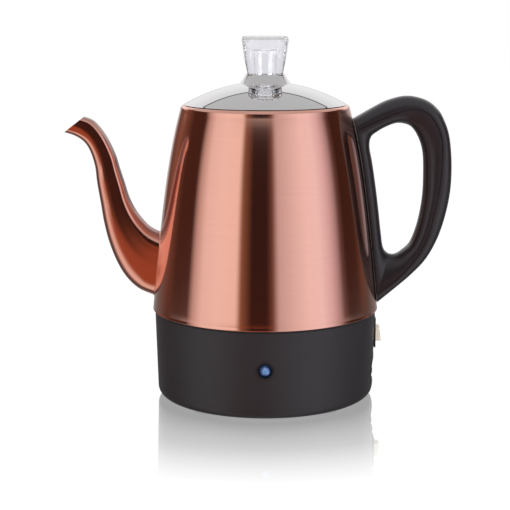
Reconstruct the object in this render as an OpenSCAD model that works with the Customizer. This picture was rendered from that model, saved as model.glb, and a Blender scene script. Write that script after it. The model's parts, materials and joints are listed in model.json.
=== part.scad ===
// Electric coffee percolator: a tapered steel jug with a gooseneck spout and a loop handle
// on a plastic base that holds the heater, with a pump stem, a coffee basket and a lid inside.
// Z is up, the jug's axis is the Z axis and the table is Z = 0.
// The spout points along -X, the handle, switch and inlet along +X, and the lamp along -Y.

/* [Vessel] */
// Outer radius of the vessel where it is widest, just above the base
vessel_r = 65.2; // [60:0.1:80]
// Outer radius of the shoulder, just below the lid
shoulder_r = 48.6; // [47:0.1:59]
// Outer radius of the mouth that the lid closes
mouth_r = 46; // [44:0.1:48.5]
// Height of the vessel, from the gasket to the mouth
vessel_h = 118.4; // [105:0.1:150]
// Thickness of the vessel's steel wall
vessel_wall = 0.8; // [0.5:0.1:1.2]
// Height of the vessel's floor above its lower edge
floor_rise = 4.2; // [3:0.1:8]
// Inner radius of the heat well in the floor
well_r = 17.2; // [16:0.1:21]
// Depth of the heat well
well_depth = 8; // [6.5:0.1:10]

/* [Base] */
// Height of the base housing's top above the table
base_h = 50.7; // [48:0.1:70]
// Thickness of the base housing's plastic wall
housing_wall = 2.4; // [1.8:0.1:3]
// Radius of the rounding around the bottom of the base
base_round = 5; // [3:0.1:6]
// Thickness of the bottom cover
cover_t = 2; // [1.6:0.1:3]
// Height of the rubber feet under the bottom cover
foot_h = 1.6; // [1:0.1:3]
// Radius of a rubber foot
foot_r = 5.5; // [4:0.1:7]

/* [Spout] */
// How far the spout's lip stands out from the vessel's wall
spout_reach = 63.5; // [50:0.5:80]
// Half the spout's width at its root
spout_root_w = 11.5; // [9.5:0.1:14]
// Half the spout's width at its mouth
spout_mouth_w = 6.2; // [5:0.1:8]
// Thickness of the spout's steel
spout_wall = 1; // [0.8:0.1:1.3]

/* [Handle] */
// Half the width of the handle
handle_w = 9.2; // [7.5:0.1:11.5]
// How far the handle's grip stands out, as a multiple of its design reach
handle_reach = 1; // [0.85:0.01:1.2]

/* [Lid and knob] */
// Height of the lid's dome above its rim
dome_h = 12.7; // [11:0.1:17]
// Thickness of the lid's steel
lid_wall = 0.8; // [0.5:0.1:1.2]
// Height of the clear knob above the lid's collar
knob_h = 21.3; // [18:0.1:27]
// Radius of the knob's neck
knob_neck_r = 10.3; // [9:0.1:12]
// Radius of the knob's top
knob_top_r = 13.5; // [12.5:0.1:17]
// Radius of the hollow in the knob
knob_hollow_r = 5.9; // [5.6:0.1:7]

/* [Pump and basket] */
// Outer radius of the pump tube
tube_r = 4.5; // [4:0.1:5.4]
// Outer radius of the coffee basket
basket_r = 38; // [30:0.1:41]
// Height of the coffee basket
basket_h = 39.4; // [30:0.1:41]

/* [Switch, lamp and inlet] */
// Height of the rocker switch's bezel
switch_h = 17.6; // [15:0.1:18]
// Width of the rocker switch's bezel
switch_w = 11; // [10:0.1:15]
// How far the rocker turns, in degrees
rocker_turn = 12; // [8:1:15]
// Radius of the signal lamp's lens
lens_r = 3.6; // [3.4:0.1:5]
// Spacing of the two inlet pins
pin_pitch = 17.46; // [16:0.01:19]
// Radius of an inlet pin
pin_r = 2.38; // [2:0.01:2.6]
// Width of the inlet, along Y
inlet_w = 34; // [33:0.1:40]
// Height of the inlet
inlet_h = 17.5; // [17:0.1:19.2]

/* [Hidden] */
$fn = 64;
small_fn = 32;
// Radial clearance of a part that turns or slides on another
run_fit = 0.08;
// Gap between two parts that only lie near each other
gap = 0.3;
// Clearance of a part that is fixed in its hole
fixed_fit = 0.1;
gasket_t = 0.8;
rim_gap = 0.3;

// Heights that follow from the sizes above
foot_gap = foot_h / 2;
cover_z = foot_h;
ledge_z = cover_z + cover_t;
vessel_z = base_h + gasket_t;
mouth_z = vessel_z + vessel_h;
widest_z = vessel_z + 5.2;
shoulder_z = mouth_z - 2;
floor_z = vessel_z + floor_rise;
floor_t = 0.8;
well_z = floor_z - well_depth;
heat_plate_t = 3;
heat_plate_z = well_z - heat_plate_t;
heat_plate_r = well_r + 6.8;
element_r = 3;
element_ring_r = heat_plate_r - element_r - 1.5;
element_z = heat_plate_z - element_r;
thermostat_h = 8;
thermostat_r = 8.5;
thermostat_z = heat_plate_z - thermostat_h;
thermostat_tag_y = 4;
thermostat_tag_h = 7;

// Base housing
base_top_r = vessel_r - 0.7;
base_draft = 1.45;
cover_hole_r = base_top_r - base_draft - base_round;
cover_r = cover_hole_r - gap;
ledge_r = cover_r - 4;
seat_r = base_top_r - 7;
pillar_r = 3.5;
pillar_ring_r = vessel_r - 19;
pillar_angles = [90, 210, 330];
thread_r = 1.5;
screw_r = 1.45;
screw_head_r = 3.2;
screw_head_t = 1;
feet_ring_r = cover_r - foot_r - 3;
feet_angles = [45, 135, 225, 315];
peg_r = 2;

// Lid and knob
lid_seat_z = mouth_z + rim_gap;
lid_r = mouth_r + 0.6;
dome_power = 2.1;
collar_r = knob_neck_r + run_fit;
collar_wall = 0.6;
collar_flare = 4;
collar_top_z = lid_seat_z + dome_h + 4.4;
skirt_r = mouth_r - vessel_wall - gap;
skirt_wall = 0.6;
skirt_h = 10.5;
knob_bottom_z = collar_top_z - 9.6;
knob_top_z = collar_top_z + knob_h;
knob_ring_z = knob_bottom_z + 1.7;
knob_ring_t = 0.9;
knob_groove_d = 0.9;

// Pump stem, basket and basket cover
tube_wall = 0.7;
bell_r = well_r - 1.6;
bell_z = well_z + floor_t + gap;
bell_h = 9.4;
bell_wall = 0.8;
seat_plate_z = bell_z + 3;
seat_plate_t = 0.8;
valve_r = tube_r - tube_wall - 0.4;
valve_t = 0.6;
valve_travel = 1.5;
valve_z = seat_plate_z + seat_plate_t + 0.05;
stem_top_z = knob_bottom_z + 7;
basket_wall = 0.6;
basket_cover_z = lid_seat_z - skirt_h - 1.2;
basket_z = basket_cover_z - gap - basket_h;
basket_rim = 1.5;
stop_t = 1.4;
sleeve_wall = 1;

// Fittings on the side of the base
switch_z = base_h - 14;
inlet_z = foot_gap + 14.5;
lamp_z = base_h - 21.3;
flange_t = 0.9;
tag_w = 4.8;
tag_t = 0.8;
switch_tag_z = 4.5;
switch_tag_l = 7;
switch_body_w = switch_w - 1.2;
switch_body_h = switch_h - 1.8;
switch_hole_w = switch_body_w + 2 * fixed_fit;
switch_hole_h = switch_body_h + 2 * fixed_fit;
switch_depth = 14;
rocker_w = switch_w - 3.4;
rocker_h = switch_h - 9.2;
rocker_z = switch_z - 1;
rocker_pin_r = 1;
rocker_depth = 3.6;
bezel_open_h = rocker_h + 2 * (rocker_depth * sin(rocker_turn) + 0.25);
bezel_open_w = rocker_w + 0.6;
inlet_wall = 2;
inlet_recess = 13.5;
inlet_proud = 0.3;
inlet_depth = 18;
pin_free = 12.5;
pin_tip = 0.6;
pin_collar_t = 0.5;
inlet_ear_y = inlet_w / 2 + 4.5;
lamp_bezel_r = lens_r + 1;
lamp_tube_r = lamp_bezel_r - 0.6;
lamp_depth = 13;

// Outer radius of the base housing at height z
function base_r(z) =
    base_top_r - base_draft * (base_h - 0.6 - z) / (base_h - 0.6 - foot_gap - base_round);

// Outer radius of the vessel at height z: the taper steepens towards the shoulder
function taper(t) = 0.7 * t + 0.3 * pow(t, 4);
function wall_r(z) =
    z < widest_z ? vessel_r - 0.2 * pow((widest_z - z) / 5.2, 2)
    : vessel_r - (vessel_r - shoulder_r) * taper(min(1, (z - widest_z) / (shoulder_z - widest_z)));

// Height of the lid's outer surface at radius r
function dome_z(r) = lid_seat_z + dome_h * (1 - pow(r / lid_r, dome_power));

// A smooth curve through points p, open or closed, with m steps between two of them
function near(p, i, closed) = closed ? p[(i + len(p)) % len(p)] : p[max(0, min(len(p) - 1, i))];
function blend(a, b, c, d, t) =
    0.5 * (2 * b + (c - a) * t + (2 * a - 5 * b + 4 * c - d) * t * t
    + (3 * b - a - 3 * c + d) * t * t * t);
function curve(p, m, closed = false) = [
    for (i = [0 : len(p) - (closed ? 1 : 2)], k = [0 : m - 1])
        blend(near(p, i - 1, closed), near(p, i, closed), near(p, i + 1, closed),
            near(p, i + 2, closed), k / m),
    if (!closed) p[len(p) - 1]
];

// Faces of a tube of rings, each with n points: joined end to start, or closed by end caps
function ring_faces(rings, n, looped) = [
    for (i = [0 : rings - (looped ? 1 : 2)], k = [0 : n - 1])
        let (a = i * n, b = ((i + 1) % rings) * n, j = (k + 1) % n)
            each [[a + k, a + j, b + j], [a + k, b + j, b + k]]
];
function end_caps(rings, n) = [
    [for (k = [n - 1 : -1 : 0]) k],
    [for (k = [0 : n - 1]) (rings - 1) * n + k]
];

// Places children built along +X at an angle around the base and a height
module facing(angle, z) {
    rotate([0, 0, angle])
        translate([0, 0, z])
            children();
}

// A round bar along X from x0 to x1
module bar(x0, x1, r, fn = small_fn) {
    translate([x0, 0, 0])
        rotate([0, 90, 0])
            cylinder(h = x1 - x0, r = r, $fn = fn);
}

// A bar along X with a flat oval section, w wide along Y and h high
module oval_bar(x0, x1, w, h) {
    side = w / 2 - h / 2;
    translate([x0, 0, 0]) {
        translate([0, -side, -h / 2])
            cube([x1 - x0, 2 * side, h]);
        for (y = [-side, side])
            translate([0, y, 0])
                rotate([0, 90, 0])
                    cylinder(h = x1 - x0, r = h / 2, $fn = small_fn);
    }
}

// Copies children at the three pillars
module at_pillars() {
    for (a = pillar_angles)
        rotate([0, 0, a])
            translate([pillar_ring_r, 0, 0])
                children();
}

// A lead that runs straight from point to point, with round corners
module lead(points, r) {
    for (i = [0 : len(points) - 2]) {
        v = points[i + 1] - points[i];
        translate(points[i])
            rotate([0, acos(v[2] / norm(v)), atan2(v[1], v[0])])
                cylinder(h = norm(v), r = r, $fn = small_fn);
    }
    for (i = [1 : 1 : len(points) - 2])
        translate(points[i])
            sphere(r = 1.2 * r, $fn = small_fn);
}

/* ---- Vessel ---- */

taper_steps = 16;
vessel_heights = [for (i = [0 : taper_steps]) widest_z + (shoulder_z - widest_z) * i / taper_steps];
vessel_outline = concat(
    [[wall_r(vessel_z), vessel_z], [wall_r(vessel_z + 2.5), vessel_z + 2.5]],
    [for (z = vessel_heights) [wall_r(z), z]],
    [for (a = [30 : 30 : 90])
        [mouth_r + (shoulder_r - mouth_r) * cos(a), shoulder_z + (mouth_z - shoulder_z) * sin(a)]]
);
// The strainer holes behind the spout's root
strainer_r = 2.2;
strainer_pitch = 6.4;
strainer_rows = 5;

module vessel() {
    inside = [for (i = [len(vessel_outline) - 1 : -1 : 0])
        [vessel_outline[i][0] - vessel_wall, vessel_outline[i][1]]];
    color("#b87860")
        difference() {
            rotate_extrude()
                polygon(concat(vessel_outline, inside));
            for (row = [0 : strainer_rows - 1], col = [-1 : 1])
                translate([0, col * strainer_pitch * 0.75, spout_root_z + 6 + row * strainer_pitch])
                    bar(-vessel_r - 2, -shoulder_r + 12, strainer_r);
        }
}

module vessel_floor() {
    edge_r = wall_r(vessel_z + 1) - vessel_wall - fixed_fit;
    color("silver")
        rotate_extrude()
            polygon([
                [edge_r, vessel_z + 1], [edge_r, floor_z + floor_t],
                [well_r + floor_t + 1.5, floor_z + floor_t],
                [well_r, floor_z], [well_r, well_z + floor_t], [0, well_z + floor_t],
                [0, well_z], [well_r + floor_t, well_z], [well_r + floor_t, floor_z - 0.8],
                [well_r + floor_t + 1, floor_z], [edge_r - floor_t, floor_z], [edge_r - floor_t, vessel_z + 1]
            ]);
}

/* ---- Spout ---- */

// The spout's lower and upper edges as [out from the wall, up from the root]
spout_root_z = vessel_z + 7;
spout_rise = mouth_z - 15.9 - spout_root_z;
spout_design = [63.5, 95.5];
spout_lower = [
    [0, 0], [9.5, 4], [17.5, 11], [24, 20.5], [29.5, 32], [33.5, 43.5], [36.5, 54.5],
    [40, 66.5], [42.5, 76], [46.5, 84.5], [51, 90], [57, 93.5], [63.5, 95.5]
];
spout_upper = [
    [0, 37.5], [6, 40.5], [10.5, 44.5], [14.5, 49], [18, 54], [21, 59.5], [24, 66.5],
    [28, 75], [31.5, 82.5], [37, 91], [43, 98], [48.5, 102.5], [54, 104.5]
];
spout_steps = 3;
spout_ring = 20;

// A point given as [out, up], with its distance across the spout, on the vessel's left side
function spout_point(p, y) =
    let (out = p[0] * spout_reach / spout_design[0])
    let (z = spout_root_z + p[1] * spout_rise / spout_design[1])
    let (near_wall = sqrt(pow(wall_r(z), 2) - y * y), share = min(1, out / 25))
    [-(near_wall + (wall_r(z) - near_wall) * share + out + 0.02), y, z];

// One ring of the spout, smaller than its outer surface by inset; it fades from an oval at the
// root to a rounder section with a soft ridge along its lower edge at the mouth
function spout_ring_points(low, high, w, inset) =
    let (mid = (low + high) / 2, half = (high - low) / 2, shrink = 1 - inset / norm(half))
    [for (k = [0 : spout_ring - 1])
        let (a = 360 * k / spout_ring)
            spout_point(mid + half * sin(a) * shrink, (w - inset) * cos(a))];

module spout() {
    low = curve(spout_lower, spout_steps);
    high = curve(spout_upper, spout_steps);
    rings = len(low);
    width = [for (i = [0 : rings - 1])
        spout_mouth_w + (spout_root_w - spout_mouth_w) * pow(1 - i / (rings - 1), 1.6)];
    outer = [for (i = [0 : rings - 1]) each spout_ring_points(low[i], high[i], width[i], 0)];
    inner = [for (i = [rings - 1 : -1 : 0])
        each spout_ring_points(low[i], high[i], width[i], spout_wall)];
    color("#b87860")
        polyhedron(
            points = concat(outer, inner),
            faces = ring_faces(2 * rings, spout_ring, true),
            convexity = 6
        );
}

/* ---- Handle ---- */

// Edges of the handle as [out from the vessel's wall, down from the mouth]. The grip runs from the
// shoulder over the top and down to the foot; the seam parts the frame from the cover.
seam_edge = [
    [0, 14.5], [9, 10.5], [18, 7], [28, 3.5], [35.5, 2], [42, 4], [46, 10], [47.5, 20],
    [45.5, 31.5], [42.5, 45.5], [38.5, 58], [34, 71.5], [28.5, 82.5], [21.5, 91.5], [13.5, 99.5], [0, 109]
];
cover_edge = [
    [0, 8], [11, 2.5], [21, -2.5], [32, -5], [42.5, -3], [49.5, 2], [52, 8.5], [53, 18.5],
    [51.5, 35], [48.5, 51], [43.5, 66.5], [37.5, 79.5], [30, 90.5], [20.5, 99.5], [11, 107], [0, 115.5]
];
hole_edge = [
    [8, 18.5], [12, 15.5], [18, 12.5], [24.5, 10.5], [30.5, 11.5], [33.5, 14.5], [35.5, 20.5], [36, 28],
    [34.5, 40], [32.5, 52], [29.5, 63.5], [26, 73], [22, 80.5], [17.5, 84.5], [13, 87], [9, 86.5],
    [6.5, 83], [6, 75], [6, 60.5], [6, 46.5], [6, 33.5], [6, 24]
];
post_drops = [109, 85, 74.5, 60.5, 46.5, 33.5, 24, 14.5];
handle_steps = 3;
handle_ring = 12;
handle_gap = 0.25;
post_reach = 6.5;
stud_r = 3;
handle_screw_drops = [21, 75.5];
handle_head_r = 2.7;

// A point given as [out, down] in the XZ plane; beyond the post the reach can be stretched
function handle_point(p) =
    let (z = mouth_z - p[1])
    let (out = p[0] <= post_reach ? p[0] : post_reach + (p[0] - post_reach) * handle_reach)
    [wall_r(z) + handle_gap + out, z];

// A ring of half-round section, flat at a and round at b
function half_round(a, b, w) = [
    for (k = [0 : handle_ring - 1])
        let (t = -90 + 180 * k / (handle_ring - 1), p = a + (b - a) * cos(t))
            [p[0], w * sin(t), p[1]]
];
function fine(p, m, closed = false) = [for (q = curve(p, m, closed)) handle_point(q)];

module handle_frame() {
    seam = fine(seam_edge, handle_steps);
    post = [for (i = [0 : len(post_drops) - 2], k = [0 : handle_steps - 1])
        if (i + k > 0)
            let (share = k / handle_steps)
                handle_point([0, post_drops[i] * (1 - share) + post_drops[i + 1] * share])];
    flat = concat(seam, post);
    round = fine(hole_edge, handle_steps, true);
    rings = len(flat);
    color("#2e2c2f")
        difference() {
            polyhedron(
                points = [for (i = [0 : rings - 1]) each half_round(flat[i], round[i], handle_w)],
                faces = ring_faces(rings, handle_ring, true),
                convexity = 8
            );
            for (drop = handle_screw_drops)
                translate([0, 0, mouth_z - drop]) {
                    bar(shoulder_r - 5, stud_tip(drop) + fixed_fit, stud_r + fixed_fit);
                    bar(shoulder_r, vessel_r + 20, screw_r + fixed_fit);
                    bar(handle_head_x(drop), vessel_r + 20, handle_head_r + fixed_fit);
                }
        }
}

module handle_cover() {
    seam = fine(seam_edge, handle_steps);
    round = fine(cover_edge, handle_steps);
    rings = len(seam);
    color("#2e2c2f")
        polyhedron(
            points = [for (i = [0 : rings - 1]) each half_round(seam[i], round[i], -handle_w)],
            faces = concat(ring_faces(rings, handle_ring, false), end_caps(rings, handle_ring)),
            convexity = 6
        );
}

// Where a handle stud ends and where the screw's head is seated, at a drop below the mouth
function stud_tip(drop) = wall_r(mouth_z - drop) + 3.2;
function handle_head_x(drop) = wall_r(mouth_z - drop) + 4.6;

module handle_studs() {
    color("silver")
        for (drop = handle_screw_drops)
            translate([0, 0, mouth_z - drop])
                difference() {
                    bar(wall_r(mouth_z - drop - stud_r) + 0.05, stud_tip(drop), stud_r);
                    bar(shoulder_r, vessel_r + 20, thread_r);
                }
}

module handle_screws() {
    color("silver")
        for (drop = handle_screw_drops)
            translate([0, 0, mouth_z - drop]) {
                bar(stud_tip(drop) - 2.8, handle_head_x(drop) + 0.1, screw_r);
                difference() {
                    bar(handle_head_x(drop), handle_head_x(drop) + 1.4, handle_head_r);
                    translate([handle_head_x(drop) + 0.8, -handle_head_r, -0.35])
                        cube([1, 2 * handle_head_r, 0.7]);
                }
            }
}

/* ---- Base ---- */

module base_housing() {
    foot_arc = [for (a = [-90 : 15 : 0])
        [cover_hole_r + base_round * cos(a), foot_gap + base_round * (1 + sin(a))]];
    inner_top = base_h - housing_wall;
    color("#37363a")
        difference() {
            union() {
                rotate_extrude()
                    polygon(concat(foot_arc, [
                        [base_top_r, base_h - 0.6], [base_top_r - 0.6, base_h], [seat_r, base_h],
                        [seat_r, inner_top], [base_top_r - housing_wall - 0.1, inner_top],
                        [base_r(ledge_z + cover_t) - housing_wall - 1, ledge_z + cover_t + 2],
                        [ledge_r, ledge_z + cover_t], [ledge_r, ledge_z], [cover_hole_r, ledge_z]
                    ]));
                for (y = [-inlet_ear_y, inlet_ear_y])
                    translate([0, y, inlet_z])
                        bar(ear_x, boss_end(y), 2.6);
            }
            facing(-90, lamp_z)
                bar(base_top_r - 20, base_top_r + 5, lamp_tube_r + fixed_fit);
            translate([base_top_r - 15, -switch_hole_w / 2, switch_z - switch_hole_h / 2])
                cube([30, switch_hole_w, switch_hole_h]);
            // A shallow flat pocket for the switch's flange
            translate([bezel_back_x - 0.02, -switch_w / 2 - fixed_fit, switch_z - switch_h / 2 - fixed_fit])
                cube([10, switch_w + 2 * fixed_fit, switch_h + 2 * fixed_fit]);
            translate([0, 0, inlet_z])
                oval_bar(base_top_r - 15, base_top_r + 5, inlet_w + 2 * fixed_fit,
                    inlet_h + 2 * fixed_fit);
            for (y = [-inlet_ear_y, inlet_ear_y])
                translate([0, y, inlet_z])
                    bar(ear_x - 1, ear_x + 3, 1);
        }
}

// The screw bosses for the inlet's ears end inside the housing's wall
function boss_end(y) = sqrt(pow(base_r(inlet_z) - housing_wall / 2, 2) - pow(abs(y) + 2.6, 2));
ear_x = boss_end(inlet_ear_y) - 5;
ear_t = 2;

module base_gasket() {
    color("#151515")
        rotate_extrude()
            translate([seat_r + 1, base_h])
                square([wall_r(vessel_z) - 0.5 - seat_r - 1, gasket_t]);
}

module bottom_cover() {
    color("#2b2a2d")
        difference() {
            translate([0, 0, cover_z])
                cylinder(h = cover_t, r = cover_r, $fn = 96);
            at_pillars() {
                translate([0, 0, cover_z - 1])
                    cylinder(h = 1 + screw_head_t, r = screw_head_r + fixed_fit, $fn = small_fn);
                cylinder(h = ledge_z + 1, r = screw_r + fixed_fit, $fn = small_fn);
            }
            for (a = feet_angles)
                rotate([0, 0, a])
                    translate([feet_ring_r, 0, 0])
                        cylinder(h = ledge_z + 1, r = peg_r + fixed_fit, $fn = small_fn);
        }
}

module feet() {
    color("#1c1c1c")
        for (a = feet_angles)
            rotate([0, 0, a])
                translate([feet_ring_r, 0, 0]) {
                    cylinder(h = foot_h, r = foot_r, $fn = small_fn);
                    cylinder(h = ledge_z, r = peg_r, $fn = small_fn);
                }
}

module standoffs() {
    color("silver")
        at_pillars()
            difference() {
                translate([0, 0, ledge_z])
                    cylinder(h = floor_z - ledge_z, r = pillar_r, $fn = small_fn);
                translate([0, 0, ledge_z - 1])
                    cylinder(h = 16, r = thread_r, $fn = small_fn);
            }
}

module base_screws() {
    color("silver")
        at_pillars()
            difference() {
                union() {
                    translate([0, 0, cover_z])
                        cylinder(h = screw_head_t, r = screw_head_r, $fn = small_fn);
                    translate([0, 0, cover_z + 0.5])
                        cylinder(h = cover_t + 9.5, r = screw_r, $fn = small_fn);
                }
                translate([-0.4, -screw_head_r, cover_z - 0.1])
                    cube([0.8, 2 * screw_head_r, 0.5]);
            }
}

/* ---- Heater ---- */

element_gap_angle = 50;
bracket_screw_x = thermostat_r + 2.6;

module heater_plate() {
    color("#9a9a9c")
        difference() {
            translate([0, 0, heat_plate_z])
                cylinder(h = heat_plate_t, r = heat_plate_r);
            for (x = [-bracket_screw_x, bracket_screw_x])
                translate([x, 0, heat_plate_z - 1])
                    cylinder(h = 3, r = 1, $fn = small_fn);
        }
}

module heating_element() {
    color("#77736e")
        rotate([0, 0, 180 + element_gap_angle / 2]) {
            rotate_extrude(angle = 360 - element_gap_angle)
                translate([element_ring_r, element_z])
                    circle(r = element_r);
            for (a = [2, -element_gap_angle - 2])
                rotate([0, 0, a])
                    translate([element_ring_r, 0, element_z - 9])
                        cylinder(h = 9, r = element_r - 0.5);
        }
}

module element_terminals() {
    color("silver")
        for (side = [-1, 1])
            rotate([0, 0, 180 + side * element_gap_angle / 2])
                translate([element_ring_r, 0, element_z - 15])
                    cylinder(h = 6, r = 1.2, $fn = small_fn);
}

module thermostat() {
    color("#d8d2c4")
        union() {
            translate([0, 0, thermostat_z + 2])
                cylinder(h = thermostat_h - 2, r = thermostat_r);
            translate([0, 0, thermostat_z])
                cylinder(h = 3, r = thermostat_r - 1.5);
        }
}

module thermostat_terminals() {
    color("silver")
        for (y = [-thermostat_tag_y, thermostat_tag_y])
            translate([-tag_t / 2, y - tag_w / 2, thermostat_z - thermostat_tag_h])
                cube([tag_t, tag_w, thermostat_tag_h]);
}

module thermostat_bracket() {
    z = thermostat_z + 4;
    color("silver")
        difference() {
            union() {
                translate([0, 0, z])
                    cylinder(h = 0.8, r = thermostat_r + 1.2);
                for (side = [-1, 1]) {
                    translate([side * (thermostat_r + 2.2) - 2.2, -3, z])
                        cube([4.4, 6, 0.8]);
                    translate([side * (thermostat_r + 4) - 0.4, -3, z])
                        cube([0.8, 6, heat_plate_z - z]);
                }
            }
            translate([0, 0, z - 1])
                cylinder(h = 3, r = thermostat_r + 0.05);
            for (x = [-bracket_screw_x, bracket_screw_x])
                translate([x, 0, z - 1])
                    cylinder(h = 3, r = 1.05, $fn = small_fn);
        }
}

module bracket_screws() {
    color("silver")
        for (x = [-bracket_screw_x, bracket_screw_x])
            translate([x, 0, thermostat_z + 4]) {
                translate([0, 0, -1])
                    cylinder(h = 1, r = 1.8, $fn = small_fn);
                translate([0, 0, -0.5])
                    cylinder(h = heat_plate_z - thermostat_z - 4 + 2.2, r = 0.95, $fn = small_fn);
            }
}

// The keep-warm heater lies under the floor, beside the well
keep_warm_size = [10, 26, 7];
keep_warm_x = -(well_r + 17);

module keep_warm_heater() {
    color("#e4dfd2")
        translate([keep_warm_x, 0, floor_z - keep_warm_size[2] / 2])
            cube(keep_warm_size, center = true);
}

module keep_warm_strap() {
    z = floor_z - keep_warm_size[2];
    half = keep_warm_size[0] / 2;
    color("silver")
        translate([keep_warm_x, 0, 0])
            difference() {
                translate([-half - 5, -3, z - 0.6])
                    cube([2 * half + 10, 6, keep_warm_size[2] + 0.6]);
                translate([-half, -4, z])
                    cube([2 * half, 8, keep_warm_size[2] + 1]);
                for (side = [-1, 1])
                    translate([side * (half + 3.1) - 2.5, -4, z - 1])
                        cube([5, 8, keep_warm_size[2] + 0.4]);
            }
}

fuse_r = 2;
fuse_leg = 12;
fuse_at = [14, heat_plate_r + 7, floor_z - fuse_r];

module thermal_fuse() {
    color("#c9b48a")
        translate(fuse_at) {
            bar(-6, 6, fuse_r);
            bar(-fuse_leg, fuse_leg, 0.5);
        }
}

/* ---- Signal lamp ---- */

module lamp_holder() {
    r = base_r(lamp_z);
    color("#1a1a1c")
        facing(-90, lamp_z)
            difference() {
                union() {
                    bar(base_r(lamp_z + lamp_bezel_r) + 0.02, r + 0.9, lamp_bezel_r, $fn);
                    bar(r - lamp_depth, r + 0.1, lamp_tube_r, $fn);
                }
                bar(r - lamp_depth - 1, r + 2, lens_r - 0.55);
                bar(r - 1.5, r + 2, lens_r + 0.05, $fn);
            }
}

module lamp_lens() {
    r = base_r(lamp_z);
    facet = 0.8;
    color("#2aa0e8")
        facing(-90, lamp_z)
            rotate([0, 90, 0])
                rotate_extrude()
                    polygon([
                        [0, r - 4], [lens_r - 0.9, r - 4], [lens_r - 0.9, r - 1.4], [lens_r, r - 1.4],
                        [lens_r, r + 0.9], [lens_r - facet, r + 1.5], [0, r + 1.9]
                    ]);
}

module lamp_led() {
    r = base_r(lamp_z);
    color("#dff0ff")
        facing(-90, lamp_z) {
            bar(r - 9.5, r - 4.2, 2.5);
            bar(r - 11, r - 9.5, 2.8);
            for (y = [-1.2, 1.2])
                translate([0, y, 0])
                    bar(r - 18, r - 11, 0.4);
        }
}

/* ---- Switch ---- */

switch_face_x = base_r(switch_z) + 0.75;
bezel_back_x = switch_face_x - flange_t;
rocker_pivot_x = switch_face_x - rocker_depth;

module switch_housing() {
    back_x = bezel_back_x - switch_depth;
    color("#161618")
        translate([0, 0, switch_z])
            difference() {
                union() {
                    translate([bezel_back_x, -switch_w / 2, -switch_h / 2])
                        cube([flange_t, switch_w, switch_h]);
                    translate([back_x, -switch_body_w / 2, -switch_body_h / 2])
                        cube([switch_depth + 0.5, switch_body_w, switch_body_h]);
                }
                translate([back_x + 3, -bezel_open_w / 2, rocker_z - switch_z - bezel_open_h / 2])
                    cube([switch_depth + 5, bezel_open_w, bezel_open_h]);
                translate([rocker_pivot_x, -switch_w, rocker_z - switch_z])
                    rotate([-90, 0, 0])
                        cylinder(h = 2 * switch_w, r = rocker_pin_r + run_fit, $fn = small_fn);
            }
}

module switch_rocker() {
    half = rocker_h / 2;
    color("#e9dcc4")
        translate([rocker_pivot_x, 0, rocker_z]) {
            rotate([90, 0, 0])
                translate([0, 0, -rocker_w / 2])
                    linear_extrude(rocker_w)
                        polygon([
                            [-2, -half + 2], [-2, half - 2], [0, half - 0.2], [rocker_depth + 2.2, half],
                            [rocker_depth + 2.8, half - 0.5], [rocker_depth + 3.3, -half + 0.6],
                            [rocker_depth + 2.8, -half], [0, -half + 0.2]
                        ]);
            rotate([90, 0, 0])
                translate([0, 0, -switch_body_w / 2 + 0.2])
                    cylinder(h = switch_body_w - 0.4, r = rocker_pin_r, $fn = small_fn);
        }
}

module switch_terminals() {
    back_x = bezel_back_x - switch_depth;
    color("#c8a860")
        for (z = [-switch_tag_z, switch_tag_z])
            translate([back_x - switch_tag_l, -tag_w / 2, switch_z + z - tag_t / 2])
                cube([switch_tag_l, tag_w, tag_t]);
}

/* ---- Inlet ---- */

inlet_face_x = base_r(inlet_z) + inlet_proud;
recess_x = inlet_face_x - inlet_recess;

module inlet_socket() {
    color("#1d1d1f")
        translate([0, 0, inlet_z])
            difference() {
                union() {
                    // The face follows the base's curve
                    intersection() {
                        oval_bar(inlet_face_x - inlet_depth, inlet_face_x + 5, inlet_w, inlet_h);
                        translate([0, 0, -inlet_z])
                            cylinder(h = base_h, r1 = base_r(0) + inlet_proud, r2 = base_r(base_h) + inlet_proud);
                    }
                    translate([ear_x - ear_t - 0.05, -inlet_ear_y - 3, -3.5])
                        cube([ear_t, 2 * inlet_ear_y + 6, 7]);
                }
                oval_bar(recess_x, inlet_face_x + 1, inlet_w - 2 * inlet_wall, inlet_h - 2 * inlet_wall);
                for (y = [-pin_pitch / 2, pin_pitch / 2])
                    translate([0, y, 0])
                        bar(recess_x - 10, recess_x + 1, pin_r + 0.02);
                for (y = [-inlet_ear_y, inlet_ear_y])
                    translate([0, y, 0])
                        bar(ear_x - 5, ear_x + 1, 1.2);
            }
}

module inlet_pins() {
    color("#d6d6d8")
        translate([0, 0, inlet_z])
            for (y = [-pin_pitch / 2, pin_pitch / 2])
                translate([0, y, 0]) {
                    bar(pin_tail_x, recess_x + pin_free - pin_tip, pin_r);
                    bar(recess_x, recess_x + pin_collar_t, pin_r + 0.6);
                    translate([recess_x + pin_free - pin_tip, 0, 0])
                        rotate([0, 90, 0])
                            cylinder(h = pin_tip, r1 = pin_r, r2 = pin_r - pin_tip, $fn = small_fn);
                }
}

module inlet_screws() {
    color("silver")
        for (y = [-inlet_ear_y, inlet_ear_y])
            translate([0, y, inlet_z]) {
                bar(ear_x - ear_t - 1.3, ear_x - ear_t - 0.05, 2.1);
                bar(ear_x - ear_t - 0.1, ear_x + 2.8, 0.95);
            }
}

/* ---- Leads ---- */

// Each lead joins two terminals inside the base by way of a free point
lead_r = 0.9;
// A lead's soldered end stops this far from its terminal's face
joint_gap = 0.6;
pin_tail_x = recess_x - 8.5;
switch_tail_x = bezel_back_x - switch_depth - switch_tag_l;
terminal_z = element_z - 15;
terminal_x = -element_ring_r * cos(element_gap_angle / 2);
terminal_y = element_ring_r * sin(element_gap_angle / 2);
lamp_tail_y = -base_r(lamp_z) + 18;
thermostat_tail_z = thermostat_z - thermostat_tag_h - joint_gap;

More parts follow.
